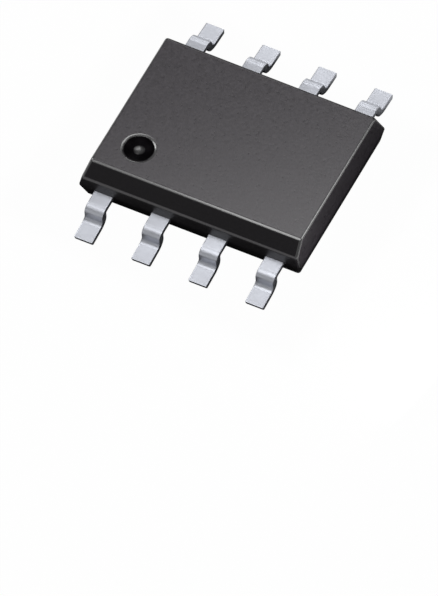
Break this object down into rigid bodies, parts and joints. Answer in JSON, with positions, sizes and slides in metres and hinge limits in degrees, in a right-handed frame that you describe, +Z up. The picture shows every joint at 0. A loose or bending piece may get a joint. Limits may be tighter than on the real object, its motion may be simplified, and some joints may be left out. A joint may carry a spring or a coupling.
{
  "type": "voltage regulator",
  "caption": "Small surface-mount voltage regulator: dark moulded body, tinned gull-wing leads along both long sides, a round pin mark and a bevel on top, and a bare heat pad flush underneath.",
  "frame": {"origin": "on the board, below the middle of the body", "axes": "+X along the rows of leads, +Y across them towards pins 5 to 8, +Z up from the board"},
  "size_m": [0.005, 0.006, 0.0016],
  "materials": {
    "mould_compound": "fine-grained matt moulding, edges slightly rounded",
    "pad_plating": "matt tin over copper",
    "lead_plating": "matt tin over copper, drawn along the lead",
    "solder": "dull solder",
    "silicon": "polished",
    "bond_wire": "bright drawn wire"
  },
  "bodies": {
    "root": {"mould_body": "mould_compound", "exposed_pad": "pad_plating", "die_attach": "solder", "die": "silicon", "lead_1": "lead_plating", "lead_2": "lead_plating", "lead_3": "lead_plating", "lead_4": "lead_plating", "lead_5": "lead_plating", "lead_6": "lead_plating", "lead_7": "lead_plating", "lead_8": "lead_plating", "bond_wire_1": "bond_wire", "bond_wire_2": "bond_wire", "bond_wire_3": "bond_wire", "bond_wire_4": "bond_wire", "bond_wire_5": "bond_wire", "bond_wire_6": "bond_wire", "bond_wire_7": "bond_wire", "bond_wire_8": "bond_wire"}
  },
  "joints": []
}
